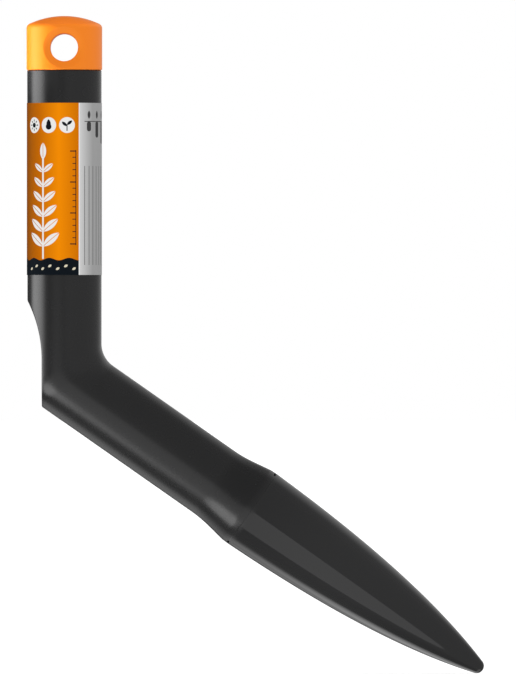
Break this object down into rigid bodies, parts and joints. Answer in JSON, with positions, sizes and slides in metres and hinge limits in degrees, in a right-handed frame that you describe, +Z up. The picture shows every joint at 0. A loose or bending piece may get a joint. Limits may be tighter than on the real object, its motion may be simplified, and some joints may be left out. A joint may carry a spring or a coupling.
{
  "type": "dibber",
  "caption": "One-hand planting dibber: a bent black tubular handle with a thumb rest, a glossy tapered spike for making planting holes, and an orange domed cap with a hang hole.",
  "frame": {"origin": "centre of the hang hole through the cap", "axes": "+Z up along the grip towards the cap, +X the way the shaft and spike lean, +Y along the hang hole, away from the picture's viewer"},
  "size_m": [0.185, 0.0344, 0.2657],
  "materials": {
    "satin_black": "fine satin moulded grain",
    "gloss_black": "polished moulding",
    "cap_orange": "semi-gloss moulding",
    "label_print": null
  },
  "bodies": {
    "root": {"handle": "satin_black", "spike": "gloss_black", "end_cap": "cap_orange", "label_wrap": "label_print"}
  },
  "joints": []
}
